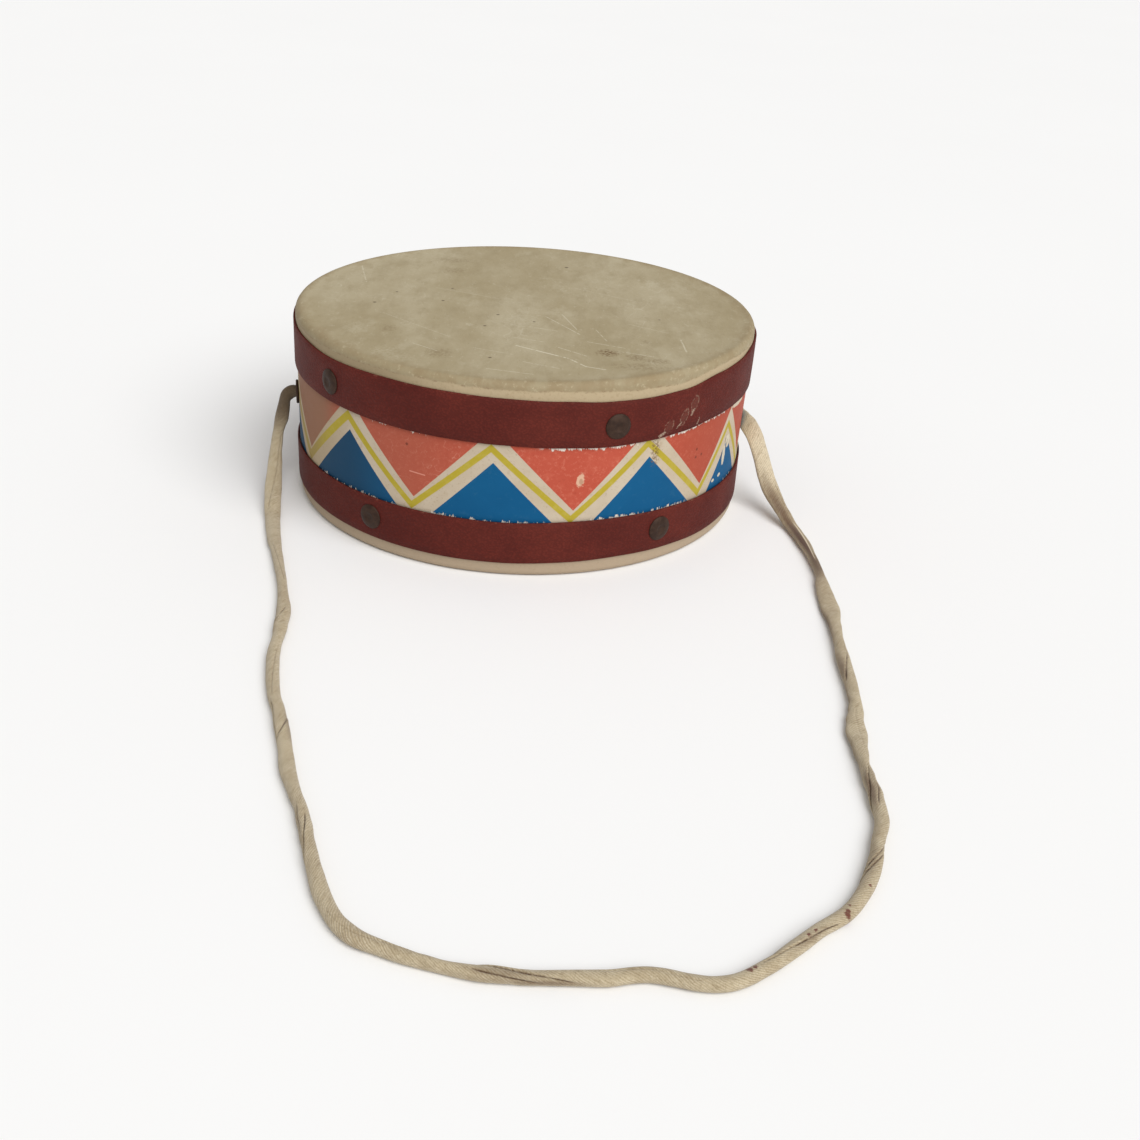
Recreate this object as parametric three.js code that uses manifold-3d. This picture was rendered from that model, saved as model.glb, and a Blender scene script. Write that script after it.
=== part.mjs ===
// A child's side drum: a thin wooden hoop with a printed paper wrap, a skin head on each end,
// a leathercloth band tacked over each skirt, and a cotton strap that runs through two eyelets.
// Millimetres, +Z up through the drum. The drum stands on its lower head, centred on the origin.
// Angles are in degrees about +Z, from the front (-Y) towards +X.

import * as THREE from 'three';
import { mergeVertices } from 'three/addons/utils/BufferGeometryUtils.js';
import Module from 'manifold-3d';

// Driving dimensions
const drumHeight = 82;
const hoopRadius = 98.2;
const hoopWall = 3.2;
const skinThickness = 0.5;
const paperThickness = 0.4;
const bandThickness = 0.7;
const headEdgeRadius = 2.6;
const gap = 0.3;

// Bands, each set by the margin it leaves to its head's face and by its width
const upperBandMargin = 6.7;
const upperBandWidth = 18.5;
const lowerBandMargin = 6.2;
const lowerBandWidth = 17.7;
const bandEdgeRadius = 0.25;
const skirtCover = 3;

// Tacks
const tacksPerBand = 5;
const tackHeadDiameter = 10.4;
const tackHeadThickness = 0.9;
const tackRimThickness = 0.4;
const tackDimpleDiameter = 4.2;
const tackDimpleDepth = 0.35;
const tackShankDiameter = 1.4;
const tackShankBite = 2.2;
const upperTackAngle = -50.2;
const lowerTackAngle = -36.4;

// How far each hand-driven tack is above the middle of its band
const upperTackStray = [0, -2.2, 0.5, -0.6, 0.3];
const lowerTackStray = [0, 0.5, -0.4, 0.4, -0.5];

// Eyelets and strap
const strapDiameter = 5;
const eyeletHeight = 43.5;
const leftEyeletAngle = -80;
const rightEyeletAngle = 100;
const eyeletWall = 0.5;
const eyeletFlangeReach = 1.9;
const eyeletLip = 0.7;

// Fineness of the round forms
const roundSides = 56;
const edgeSteps = 3;
const tackSides = 12;
const shankSides = 6;
const eyeletSides = 12;
const strapSides = 8;
const strapSteps = 70;

// Layers, from the hoop outwards
const hoopBore = hoopRadius - hoopWall;
const skirtInner = hoopRadius + gap;
const skirtOuter = skirtInner + skinThickness;
const paperInner = hoopRadius + gap;
const paperOuter = paperInner + paperThickness;
const bandInner = skirtOuter + gap;
const bandOuter = bandInner + bandThickness;

// Heights
const upperBandTop = drumHeight - upperBandMargin;
const upperBandBottom = upperBandTop - upperBandWidth;
const lowerBandBottom = lowerBandMargin;
const lowerBandTop = lowerBandBottom + lowerBandWidth;
const upperSkirtEnd = upperBandBottom + skirtCover;
const lowerSkirtEnd = lowerBandTop - skirtCover;
const hoopFoot = skinThickness + gap;
const hoopTop = drumHeight - skinThickness - gap;
const hoopEdgeRadius = headEdgeRadius - skinThickness - gap;

// Tack and eyelet fits
const tackSeat = bandOuter + gap;
const tackTip = hoopRadius - tackShankBite;
const tackHoleRadius = tackShankDiameter / 2 + gap;
const eyeletBore = strapDiameter / 2 + gap;
const eyeletBarrel = eyeletBore + eyeletWall;
const eyeletFlange = eyeletBarrel + eyeletFlangeReach;
const eyeletHoleRadius = eyeletBarrel + gap;
const eyeletOuterSeat = paperOuter + gap;
const hoopInnerAtEyelet = Math.sqrt(hoopBore ** 2 - eyeletFlange ** 2);
const eyeletInnerSeat = hoopInnerAtEyelet - gap;
const eyeletFace = eyeletOuterSeat + eyeletLip;
const strapEnd = eyeletFace + gap;
const strapStraight = 1.4;

const wasm = await Module();
wasm.setup();

// Directions and small helpers

const toRadians = THREE.MathUtils.degToRad;

function around(angle, radius, height) {
  const turn = toRadians(angle);
  return new THREE.Vector3(radius * Math.sin(turn), -radius * Math.cos(turn), height);
}

function material(color, roughness, metalness = 0) {
  return new THREE.MeshStandardMaterial({ color, roughness, metalness });
}

// Points of an arc in a profile, in order from one angle to the other
function arc(centreR, centreZ, radius, from, to, steps) {
  const points = [];
  for (let i = 0; i <= steps; i += 1) {
    const angle = toRadians(from + ((to - from) * i) / steps);
    points.push([centreR + radius * Math.cos(angle), centreZ + radius * Math.sin(angle)]);
  }
  return points;
}

// A solid of revolution about +Z from a profile of [radius, height] points, anticlockwise
function turned(profile, sides) {
  const points = profile.map(([radius, height]) => new THREE.Vector2(radius, height));
  return new THREE.LatheGeometry(points, sides);
}

function closed(profile) {
  return [...profile, profile[0]];
}

// LatheGeometry turns about Y, so a turned piece is stood up on Z
function standUp(geometry) {
  return geometry.rotateX(Math.PI / 2);
}

function toSolid(geometry) {
  const bare = geometry.clone();
  bare.deleteAttribute('normal');
  bare.deleteAttribute('uv');
  const merged = mergeVertices(bare, 1e-5);
  return new wasm.Manifold(new wasm.Mesh({
    numProp: 3,
    vertProperties: new Float32Array(merged.attributes.position.array),
    triVerts: new Uint32Array(merged.index.array),
  }));
}

function toGeometry(solid) {
  const mesh = solid.getMesh();
  const geometry = new THREE.BufferGeometry();
  geometry.setAttribute('position', new THREE.BufferAttribute(new Float32Array(mesh.vertProperties), 3));
  geometry.setIndex(new THREE.BufferAttribute(new Uint32Array(mesh.triVerts), 1));
  geometry.computeVertexNormals();
  return geometry;
}

// A round cutter that points out of the drum at one angle and height
function radialCutter(angle, height, radius, from, to, sides) {
  const cutter = new THREE.CylinderGeometry(radius, radius, to - from, sides);
  cutter.rotateZ(-Math.PI / 2);
  cutter.rotateX(Math.PI / sides);
  cutter.translate((from + to) / 2, 0, height);
  cutter.rotateZ(toRadians(angle - 90));
  return toSolid(cutter);
}

function cutAll(geometry, cutters) {
  const cut = cutters.reduce((solid, cutter) => solid.subtract(cutter), toSolid(geometry));
  return toGeometry(cut);
}

// Where the tacks go

function tackPlaces(firstAngle, middle, strays) {
  return Array.from({ length: tacksPerBand }, (_, i) => ({
    angle: firstAngle + (360 / tacksPerBand) * i,
    height: middle + strays[i % strays.length],
  }));
}

const upperTacks = tackPlaces(upperTackAngle, (upperBandTop + upperBandBottom) / 2, upperTackStray);
const lowerTacks = tackPlaces(lowerTackAngle, (lowerBandTop + lowerBandBottom) / 2, lowerTackStray);
const eyelets = [
  { name: 'eyelet_left', angle: leftEyeletAngle },
  { name: 'eyelet_right', angle: rightEyeletAngle },
];

function tackHoles(tacks) {
  const from = tackTip - gap;
  const to = bandOuter + gap;
  return tacks.map(({ angle, height }) => radialCutter(angle, height, tackHoleRadius, from, to, shankSides));
}

function eyeletHoles() {
  const from = hoopBore - hoopWall;
  const to = paperOuter + gap;
  return eyelets.map(({ angle }) => radialCutter(angle, eyeletHeight, eyeletHoleRadius, from, to, eyeletSides));
}

// The hoop: a thin bent-wood ring with rounded outer edges under the heads

function hoopGeometry() {
  const r = hoopRadius - hoopEdgeRadius;
  const profile = closed([
    [hoopBore, hoopFoot],
    ...arc(r, hoopFoot + hoopEdgeRadius, hoopEdgeRadius, -90, 0, edgeSteps),
    ...arc(r, hoopTop - hoopEdgeRadius, hoopEdgeRadius, 0, 90, edgeSteps),
    [hoopBore, hoopTop],
  ]);
  const ring = standUp(turned(profile, roundSides));
  return cutAll(ring, [...tackHoles(upperTacks), ...tackHoles(lowerTacks), ...eyeletHoles()]);
}

// A head: one skin drawn flat over the hoop's end and turned down into a skirt under its band.
// It is made for the lower end, and mirrored for the upper one.

function headGeometry(skirtEnd, tacks, upper) {
  const r = skirtOuter - headEdgeRadius;
  const innerEdge = headEdgeRadius - skinThickness;
  const profile = [
    [0, 0],
    ...arc(r, headEdgeRadius, headEdgeRadius, -90, 0, edgeSteps),
    [skirtOuter, skirtEnd],
    [skirtInner, skirtEnd],
    ...arc(r, headEdgeRadius, innerEdge, 0, -90, edgeSteps),
    [0, skinThickness],
  ];
  const skin = standUp(turned(profile, roundSides));
  if (upper) {
    skin.rotateX(Math.PI);
    skin.translate(0, 0, drumHeight);
  }
  return cutAll(skin, tackHoles(tacks));
}

// The printed paper between the skirts, its edges under the bands

function paperGeometry() {
  const foot = lowerSkirtEnd + gap;
  const top = upperSkirtEnd - gap;
  const profile = closed([
    [paperInner, foot],
    [paperOuter, foot],
    [paperOuter, top],
    [paperInner, top],
  ]);
  return cutAll(standUp(turned(profile, roundSides)), eyeletHoles());
}

// A band: a leathercloth strip glued and tacked round the skirt, its edges slightly rounded

function bandGeometry(bottom, top, tacks) {
  const r = bandOuter - bandEdgeRadius;
  const profile = closed([
    [bandInner, bottom],
    ...arc(r, bottom + bandEdgeRadius, bandEdgeRadius, -90, 0, 1),
    ...arc(r, top - bandEdgeRadius, bandEdgeRadius, 0, 90, 1),
    [bandInner, top],
  ]);
  return cutAll(standUp(turned(profile, roundSides)), tackHoles(tacks));
}

// A tack: a low domed head with a stamped dimple, and a shank into the hoop.
// It is made along +Z, with the head's back at zero.

function tackGeometry() {
  const headRadius = tackHeadDiameter / 2;
  const dimple = tackDimpleDiameter / 2;
  const profile = [
    [0, tackTip - tackSeat],
    [tackShankDiameter / 2, tackTip - tackSeat + tackShankDiameter],
    [tackShankDiameter / 2, 0],
    [headRadius, 0],
    [headRadius, tackRimThickness],
    [(headRadius + dimple) / 2, tackHeadThickness * 0.85],
    [dimple, tackHeadThickness],
    [dimple * 0.7, tackHeadThickness - tackDimpleDepth],
    [0, tackHeadThickness - tackDimpleDepth],
  ];
  return standUp(turned(profile, tackSides));
}

// An eyelet: a barrel through paper and hoop, with a rolled flange outside and a clinched one inside.
// It is made along +Z, with zero at the drum's axis.

function eyeletGeometry() {
  const lipRound = eyeletLip / 2;
  const profile = closed([
    [eyeletBore, eyeletInnerSeat - eyeletLip],
    [eyeletFlange - lipRound, eyeletInnerSeat - eyeletLip],
    [eyeletFlange, eyeletInnerSeat - lipRound],
    [eyeletFlange - lipRound, eyeletInnerSeat],
    [eyeletBarrel, eyeletInnerSeat],
    [eyeletBarrel, eyeletOuterSeat],
    [eyeletFlange, eyeletOuterSeat],
    ...arc(eyeletFlange - lipRound, eyeletOuterSeat + lipRound, lipRound, 0, 90, 2),
    [eyeletBore + lipRound, eyeletFace],
    [eyeletBore, eyeletFace - lipRound],
  ]);
  return standUp(turned(profile, eyeletSides));
}

// The strap's line: out of the left eyelet, down to the table, round the loop in front of the drum
// and up into the right eyelet. Its points between the eyelets are where the strap lies.

const strapRoute = [
  [-102.6, -18.2, 41.5],
  [-103.9, -19.2, 36.5],
  [-106.1, -26.3, 22.0],
  [-106.5, -32.0, 13.0],
  [-105.6, -43.0, 6.5],
  [-103.1, -60.0, 3.4],
  [-98.6, -82.0, 2.6],
  [-88.5, -122.5, 2.6],
  [-84.4, -150.0, 2.6],
  [-83.8, -172.0, 2.6],
  [-79.2, -196.0, 2.6],
  [-71.4, -221.5, 2.6],
  [-65.3, -245.0, 2.6],
  [-57.9, -266.2, 2.6],
  [-43.0, -304.5, 2.6],
  [-31.2, -313.6, 2.6],
  [-10.0, -320.9, 2.6],
  [39.0, -320.6, 2.6],
  [57.0, -322.8, 2.6],
  [71.0, -316.2, 2.6],
  [87.2, -301.9, 2.6],
  [101.0, -288.0, 2.6],
  [109.8, -268.6, 2.6],
  [115.3, -236.0, 2.6],
  [119.6, -190.0, 2.6],
  [123.6, -110.0, 2.6],
  [123.2, -72.0, 2.6],
  [118.6, -45.0, 3.6],
  [114.2, -30.0, 8.5],
  [111.0, -23.0, 15.0],
  [107.9, -19.5, 24.0],
  [105.4, -16.5, 30.9],
  [103.6, -12.0, 33.8],
  [102.6, -6.0, 34.6],
  [102.1, 1.0, 34.8],
  [102.0, 7.0, 36.8],
  [102.3, 13.4, 41.2],
];

function strapGeometry() {
  const points = [
    around(leftEyeletAngle, strapEnd, eyeletHeight),
    around(leftEyeletAngle, strapEnd + strapStraight, eyeletHeight),
    ...strapRoute.map(([x, y, z]) => new THREE.Vector3(x, y, z)),
    around(rightEyeletAngle, strapEnd + strapStraight, eyeletHeight),
    around(rightEyeletAngle, strapEnd, eyeletHeight),
  ];
  const section = new THREE.Shape();
  for (let i = 0; i < strapSides; i += 1) {
    const angle = (2 * Math.PI * i) / strapSides;
    const x = (strapDiameter / 2) * Math.cos(angle);
    const y = (strapDiameter / 2) * Math.sin(angle);
    if (i === 0) section.moveTo(x, y);
    else section.lineTo(x, y);
  }
  section.closePath();
  return new THREE.ExtrudeGeometry(section, {
    steps: strapSteps,
    bevelEnabled: false,
    extrudePath: new THREE.CatmullRomCurve3(points),
  });
}

// Assembly

const drum = new THREE.Group();

function addMesh(name, geometry, finish, parent = drum) {
  const mesh = new THREE.Mesh(geometry, finish);
  mesh.name = name;
  parent.add(mesh);
  return mesh;
}

// Stands a piece made along +Z so that it points out of the drum at one angle and height
function pointOut(angle, height, radius) {
  const holder = new THREE.Group();
  holder.position.copy(around(angle, radius, height));
  holder.rotation.set(0, Math.PI / 2, toRadians(angle - 90), 'ZYX');
  drum.add(holder);
  return holder;
}

function addTacks(prefix, tacks) {
  tacks.forEach(({ angle, height }, i) => {
    addMesh(`${prefix}_${i + 1}`, tackGeometry(), material(0x4a4036, 0.5, 0.85), pointOut(angle, height, tackSeat));
  });
}

addMesh('hoop', hoopGeometry(), material(0xc9a676, 0.75));
addMesh('paper_wrap', paperGeometry(), material(0xe2d5bf, 0.7));
addMesh('lower_head', headGeometry(lowerSkirtEnd, lowerTacks, false), material(0xd3c5a9, 0.65));
addMesh('upper_head', headGeometry(drumHeight - upperSkirtEnd, upperTacks, true), material(0xb9ab90, 0.65));
addMesh('lower_band', bandGeometry(lowerBandBottom, lowerBandTop, lowerTacks), material(0x5f2a26, 0.6));
addMesh('upper_band', bandGeometry(upperBandBottom, upperBandTop, upperTacks), material(0x5f2a26, 0.6));
addTacks('upper_tack', upperTacks);
addTacks('lower_tack', lowerTacks);
eyelets.forEach(({ name, angle }) => {
  addMesh(name, eyeletGeometry(), material(0x4a4036, 0.5, 0.85), pointOut(angle, eyeletHeight, 0));
});
addMesh('strap', strapGeometry(), material(0xcbbb98, 0.9));

export default drum;
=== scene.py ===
"""A child's side drum with a printed paper wrap, tacked bands and a twisted cotton strap.

Metres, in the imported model's frame: +Z up through the drum, -Y towards the strap's loop.
Angles are in degrees about +Z, from the front (-Y) towards +X. Marks and patterns are placed in
millimetres: across the head by x and y, and round the drum by angle and height.
"""

import math

import bpy
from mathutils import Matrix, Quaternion, Vector, noise


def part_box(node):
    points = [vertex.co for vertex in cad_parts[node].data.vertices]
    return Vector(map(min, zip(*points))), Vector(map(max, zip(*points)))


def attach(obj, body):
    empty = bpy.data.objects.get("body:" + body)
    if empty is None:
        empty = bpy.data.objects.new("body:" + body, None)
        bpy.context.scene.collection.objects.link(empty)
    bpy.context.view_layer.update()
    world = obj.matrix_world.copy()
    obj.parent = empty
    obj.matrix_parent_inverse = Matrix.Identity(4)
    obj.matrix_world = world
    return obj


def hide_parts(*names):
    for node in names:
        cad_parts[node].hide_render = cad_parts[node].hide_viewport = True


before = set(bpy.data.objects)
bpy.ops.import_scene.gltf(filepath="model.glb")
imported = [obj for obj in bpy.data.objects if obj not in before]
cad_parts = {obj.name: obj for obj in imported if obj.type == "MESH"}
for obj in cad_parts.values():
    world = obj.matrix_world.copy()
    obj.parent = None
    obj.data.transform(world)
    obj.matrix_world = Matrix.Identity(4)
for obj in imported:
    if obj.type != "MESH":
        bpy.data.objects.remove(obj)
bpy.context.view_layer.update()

MM = 0.001

# How far the drum's upper part leans out on its right side, and between which heights it starts to
RIGHT_LEAN = 1.6
LEAN_FROM = 18
LEAN_TO = 80


# Small helpers for places

def around(angle, radius, height):
    turn = math.radians(angle)
    return Vector((radius * math.sin(turn), -radius * math.cos(turn), height))


def out_of_round(point):
    """Moves a point in millimetres with the lean of the drum's right side."""
    lean = RIGHT_LEAN * smooth(point.z, LEAN_FROM, LEAN_TO) * max(0.0, point.x / 100) ** 2
    return point + Vector((lean, 0, 0))


def smooth(value, low, high):
    """0 below low and 1 above high, with an even curve between them; low may be the higher."""
    share = min(1.0, max(0.0, (value - low) / (high - low)))
    return share * share * (3 - 2 * share)


def wander(place, size, seed):
    """A smooth random number from about -1 to 1 that changes over that size."""
    return noise.noise(place / size + Vector((seed * 7.3, seed * 3.1, seed * 5.7)))


def blend_rows(rows, at):
    """Values between the rows of a list, each row a place followed by its values."""
    if at <= rows[0][0]:
        return rows[0][1:]
    for before, after in zip(rows, rows[1:]):
        if at <= after[0]:
            share = smooth(at, before[0], after[0])
            return [a + (b - a) * share for a, b in zip(before[1:], after[1:])]
    return rows[-1][1:]


def add_object(name, data):
    thing = bpy.data.objects.new(name, data)
    bpy.context.scene.collection.objects.link(thing)
    return thing


# Camera, as fitted to the photograph

CAMERA_PLACE = Vector((0.0, -0.5869, 0.2609))
CAMERA_AIM = Vector((0.0225, -0.0916, 0.0))
CAMERA_ROLL = math.radians(3.53)
CAMERA_LENS = 43.47
CAMERA_SENSOR = 36.0


def make_camera():
    data = bpy.data.cameras.new("camera")
    data.lens = CAMERA_LENS
    data.sensor_width = CAMERA_SENSOR
    camera = add_object("camera", data)
    look = (CAMERA_AIM - CAMERA_PLACE).to_track_quat("-Z", "Y")
    camera.rotation_mode = "QUATERNION"
    camera.rotation_quaternion = look @ Quaternion((0, 0, 1), CAMERA_ROLL)
    camera.location = CAMERA_PLACE
    bpy.context.scene.camera = camera


make_camera()


# Meshes

def make_object(name, vertices, faces, material, values=None):
    """A smooth-shaded mesh object; values are named lists with one number for each vertex."""
    mesh = bpy.data.meshes.new(name)
    mesh.from_pydata(vertices, [], faces)
    mesh.polygons.foreach_set("use_smooth", [True] * len(mesh.polygons))
    for key, numbers in (values or {}).items():
        mesh.attributes.new(key, "FLOAT", "POINT").data.foreach_set("value", numbers)
    mesh.materials.append(material)
    mesh.update()
    return add_object(name, mesh)


def dress(piece, slot, *nodes):
    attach(piece, "root")
    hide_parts(*nodes)
    return piece


def grid_faces(rows, columns, wrap_rows=False, wrap_columns=False):
    """Quads between the points of a grid numbered row by row."""
    faces = []
    for i in range(rows if wrap_rows else rows - 1):
        for j in range(columns if wrap_columns else columns - 1):
            i2 = (i + 1) % rows
            j2 = (j + 1) % columns
            faces.append((i * columns + j, i2 * columns + j, i2 * columns + j2, i * columns + j2))
    return faces


def tube_faces(rings, section):
    """The faces of a tube numbered ring by ring, with one over each end."""
    faces = grid_faces(rings, section, wrap_columns=True)
    faces.append(tuple(reversed(range(section))))
    faces.append(tuple((rings - 1) * section + k for k in range(section)))
    return faces


def arc(centre_r, centre_z, radius, start, end, steps):
    """Points of an arc in a profile, as (radius, height)."""
    points = []
    for i in range(steps + 1):
        turn = math.radians(start + (end - start) * i / steps)
        points.append((centre_r + radius * math.cos(turn), centre_z + radius * math.sin(turn)))
    return points


def turned(name, profile, sides, place, material, measures=None):
    """A closed round form from a profile that starts and ends on the axis.
    place(angle, radius, height) gives each point its position, and measures its stored values."""
    rings = profile[1:-1]
    spots = [(0.0, *profile[0])]
    spots += [(360 * j / sides, *point) for point in rings for j in range(sides)]
    spots.append((0.0, *profile[-1]))
    vertices = [place(*spot) for spot in spots]
    values = {key: [measure(*spot) for spot in spots] for key, measure in (measures or {}).items()}
    faces = [[index + 1 for index in face] for face in grid_faces(len(rings), sides, wrap_columns=True)]
    last = len(vertices) - 1
    for j in range(sides):
        j2 = (j + 1) % sides
        faces.append((0, 1 + j, 1 + j2))
        faces.append((last, last - sides + j2, last - sides + j))
    return make_object(name, vertices, faces, material, values)


# Node materials

def adds(operation):
    """A method of Signal that adds a math node."""
    return lambda self, *others: self.paint.math(operation, self, *others)


class Signal:
    """A number carried by a node's socket; arithmetic on it adds math nodes."""

    def __init__(self, paint, socket):
        self.paint = paint
        self.socket = socket

    __add__ = __radd__ = adds("ADD")
    __sub__ = adds("SUBTRACT")
    __mul__ = adds("MULTIPLY")
    __truediv__ = adds("DIVIDE")
    __abs__ = adds("ABSOLUTE")
    fract = adds("FRACT")
    cos = adds("COSINE")
    sin = adds("SINE")
    either = adds("MAXIMUM")
    less = adds("MINIMUM")

    def step(self, low, high):
        """0 at low and 1 at high, with an even curve between them; low may be the higher."""
        node = self.paint.node("ShaderNodeMapRange", self, low, high, interpolation_type="SMOOTHSTEP")
        return Signal(self.paint, node.outputs[0])


class Paint:
    """A node material being built. Vectors are sockets; numbers are signals."""

    def __init__(self, name, **shader_values):
        self.material = bpy.data.materials.new(name)
        self.material.use_nodes = True
        self.tree = self.material.node_tree
        self.shader = self.tree.nodes["Principled BSDF"]
        for key, value in shader_values.items():
            self.shader.inputs[key.replace("_", " ").title().replace("Ior", "IOR")].default_value = value
        place = self.node("ShaderNodeTexCoord").outputs["Object"]
        self.mm = self.vector_math("MULTIPLY", place, (1000, 1000, 1000))

    def node(self, kind, *values, **settings):
        """Adds a node and feeds its inputs in order; None leaves one as it is."""
        node = self.tree.nodes.new(kind)
        for key, value in settings.items():
            setattr(node, key, value)
        for socket, value in zip(node.inputs, values):
            self.feed(socket, value)
        return node

    def feed(self, socket, value):
        if isinstance(value, Signal):
            value = value.socket
        if isinstance(value, bpy.types.NodeSocket):
            self.tree.links.new(value, socket)
        elif value is not None:
            socket.default_value = value

    def math(self, operation, *values):
        return Signal(self, self.node("ShaderNodeMath", *values, operation=operation).outputs[0])

    def split(self, vector):
        parts = self.node("ShaderNodeSeparateXYZ", vector).outputs
        return [Signal(self, part) for part in parts]

    def vector(self, x, y, z=0.0):
        return self.node("ShaderNodeCombineXYZ", x, y, z).outputs[0]

    def vector_math(self, operation, *values):
        return self.node("ShaderNodeVectorMath", *values, operation=operation).outputs[0]

    def length(self, vector):
        return Signal(self, self.node("ShaderNodeVectorMath", vector, operation="LENGTH").outputs["Value"])

    def value(self, name):
        """A number stored on the mesh's vertices."""
        return Signal(self, self.node("ShaderNodeAttribute", attribute_name=name).outputs["Fac"])

    def scaled(self, where, size, stretch):
        """A place counted in steps of that many millimetres."""
        spread = tuple(part / size for part in stretch)
        return self.vector_math("MULTIPLY", where or self.mm, spread)

    def noise(self, size, detail=3.0, roughness=0.5, seed=0.0, where=None, stretch=(1, 1, 1)):
        """Noise from 0 to 1 whose features are about that many millimetres across."""
        scaled = self.scaled(where, size, stretch)
        moved = self.vector_math("ADD", scaled, (seed, seed * 1.7, seed * 2.3))
        node = self.node("ShaderNodeTexNoise", moved, None, 1.0, detail, roughness)
        return Signal(self, node.outputs[0])

    def cells(self, size, where=None, stretch=(1, 1, 1)):
        """Distance to the nearest cell's middle, in cells of about that many millimetres."""
        node = self.node("ShaderNodeTexVoronoi", self.scaled(where, size, stretch), None, 1.0)
        return Signal(self, node.outputs["Distance"])

    def mix(self, amount, first, second):
        """The first colour changing into the second; one that is written out goes from 0 to 255."""
        node = self.node("ShaderNodeMix", data_type="RGBA", clamp_factor=True)
        self.feed(node.inputs[0], amount)
        for socket, color in ((node.inputs[6], first), (node.inputs[7], second)):
            self.feed(socket, srgb(*color) if isinstance(color, tuple) else color)
        return node.outputs[2]

    def coats(self, color, *layers):
        """Lays colours over the first one; each layer is an amount and a colour."""
        for amount, tone in layers:
            color = self.mix(amount, color, tone)
        return color

    def patch(self, where, centre, size, soft=0.5, rough=0.0, rough_size=6.0):
        """1 inside an ellipse about centre, fading over soft of its radius, with a ragged edge."""
        offset = self.vector_math("SUBTRACT", where, (*centre, 0.0))
        scaled = self.vector_math("DIVIDE", offset, (*size, 1e6))
        reach = self.length(scaled)
        if rough:
            reach = reach + (self.noise(rough_size, 3, 0.6, centre[0], where) - 0.5) * rough
        return reach.step(1 + soft, 1 - soft)

    def line(self, where, start, end, width):
        """1 along a thin line from start to end."""
        along = Vector((*end, 0.0)) - Vector((*start, 0.0))
        offset = self.vector_math("SUBTRACT", where, (*start, 0.0))
        flat = self.vector_math("MULTIPLY", offset, (1, 1, 0))
        scaled = tuple(along / along.length_squared)
        dot = self.node("ShaderNodeVectorMath", flat, scaled, operation="DOT_PRODUCT")
        share = self.node("ShaderNodeClamp", dot.outputs["Value"]).outputs[0]
        reach = self.node("ShaderNodeVectorMath", tuple(along), operation="SCALE")
        self.feed(reach.inputs["Scale"], share)
        gap = self.length(self.vector_math("SUBTRACT", flat, reach.outputs[0]))
        return gap.step(width, width * 0.35)

    def finish(self, color, roughness=None, height=None, depth=0.0):
        """Feeds the shader; height is in units of depth, which is in millimetres."""
        self.feed(self.shader.inputs["Base Color"], color)
        if roughness is not None:
            self.feed(self.shader.inputs["Roughness"], roughness)
        if height is not None:
            bump = self.node("ShaderNodeBump")
            bump.inputs["Distance"].default_value = depth * MM
            self.feed(bump.inputs["Height"], height)
            self.feed(self.shader.inputs["Normal"], bump.outputs[0])
        return self.material


def srgb(red, green, blue):
    """A colour given from 0 to 255 as it looks on a screen."""
    def linear(part):
        part /= 255
        return part / 12.92 if part <= 0.04045 else ((part + 0.055) / 1.055) ** 2.4
    return (linear(red), linear(green), linear(blue), 1.0)


# The drum's sizes, from the frame

def round_size(node):
    """Outer radius, lowest and highest point of a node that goes round the drum's axis."""
    low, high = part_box(node)
    return high.x, low.z, high.z


SKIN_RADIUS, UPPER_SKIRT_END, DRUM_TOP = round_size("upper_head")
BAND_RADIUS, UPPER_BAND_BOTTOM, UPPER_BAND_TOP = round_size("upper_band")
LOWER_BAND_BOTTOM, LOWER_BAND_TOP = round_size("lower_band")[1:]
PAPER_RADIUS, PAPER_BOTTOM, PAPER_TOP = round_size("paper_wrap")
ARC_MM = math.radians(1) * PAPER_RADIUS / MM


def round_coordinates(paint):
    """Angle in degrees, height in millimetres, and both as a flat vector in millimetres."""
    x, y, z = paint.split(paint.mm)
    angle = paint.math("ARCTAN2", x, y * -1.0) * math.degrees(1)
    return angle, z, paint.vector(angle * ARC_MM, z)


def flat_place(angle, height):
    return (angle * ARC_MM, height)


# Strap: its route, repeated from the model in millimetres

EYELET_HEIGHT = 43.5
LEFT_EYELET_ANGLE = -80
RIGHT_EYELET_ANGLE = 100
EYELET_INSIDE = 98.0
EYELET_FACE = 101.6

STRAP_ROUTE = [
    (-102.6, -18.2, 41.5), (-103.9, -19.2, 36.5), (-106.1, -26.3, 22), (-106.5, -32, 13),
    (-105.6, -43, 6.5), (-103.1, -60, 3.4), (-98.6, -82, 2.6), (-88.5, -122.5, 2.6),
    (-84.4, -150, 2.6), (-83.8, -172, 2.6), (-79.2, -196, 2.6), (-71.4, -221.5, 2.6),
    (-65.3, -245, 2.6), (-57.9, -266.2, 2.6), (-43, -304.5, 2.6), (-31.2, -313.6, 2.6),
    (-10, -320.9, 2.6), (39, -320.6, 2.6), (57, -322.8, 2.6), (71, -316.2, 2.6),
    (87.2, -301.9, 2.6), (101, -288, 2.6), (109.8, -268.6, 2.6), (115.3, -236, 2.6),
    (119.6, -190, 2.6), (123.6, -110, 2.6), (123.2, -72, 2.6), (118.6, -45, 3.6),
    (114.2, -30, 8.5), (111, -23, 15), (107.9, -19.5, 24), (105.4, -16.5, 30.9),
    (103.6, -12, 33.8), (102.6, -6, 34.6), (102.1, 1, 34.8), (102, 7, 36.8),
    (102.3, 13.4, 41.2),
]

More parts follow.
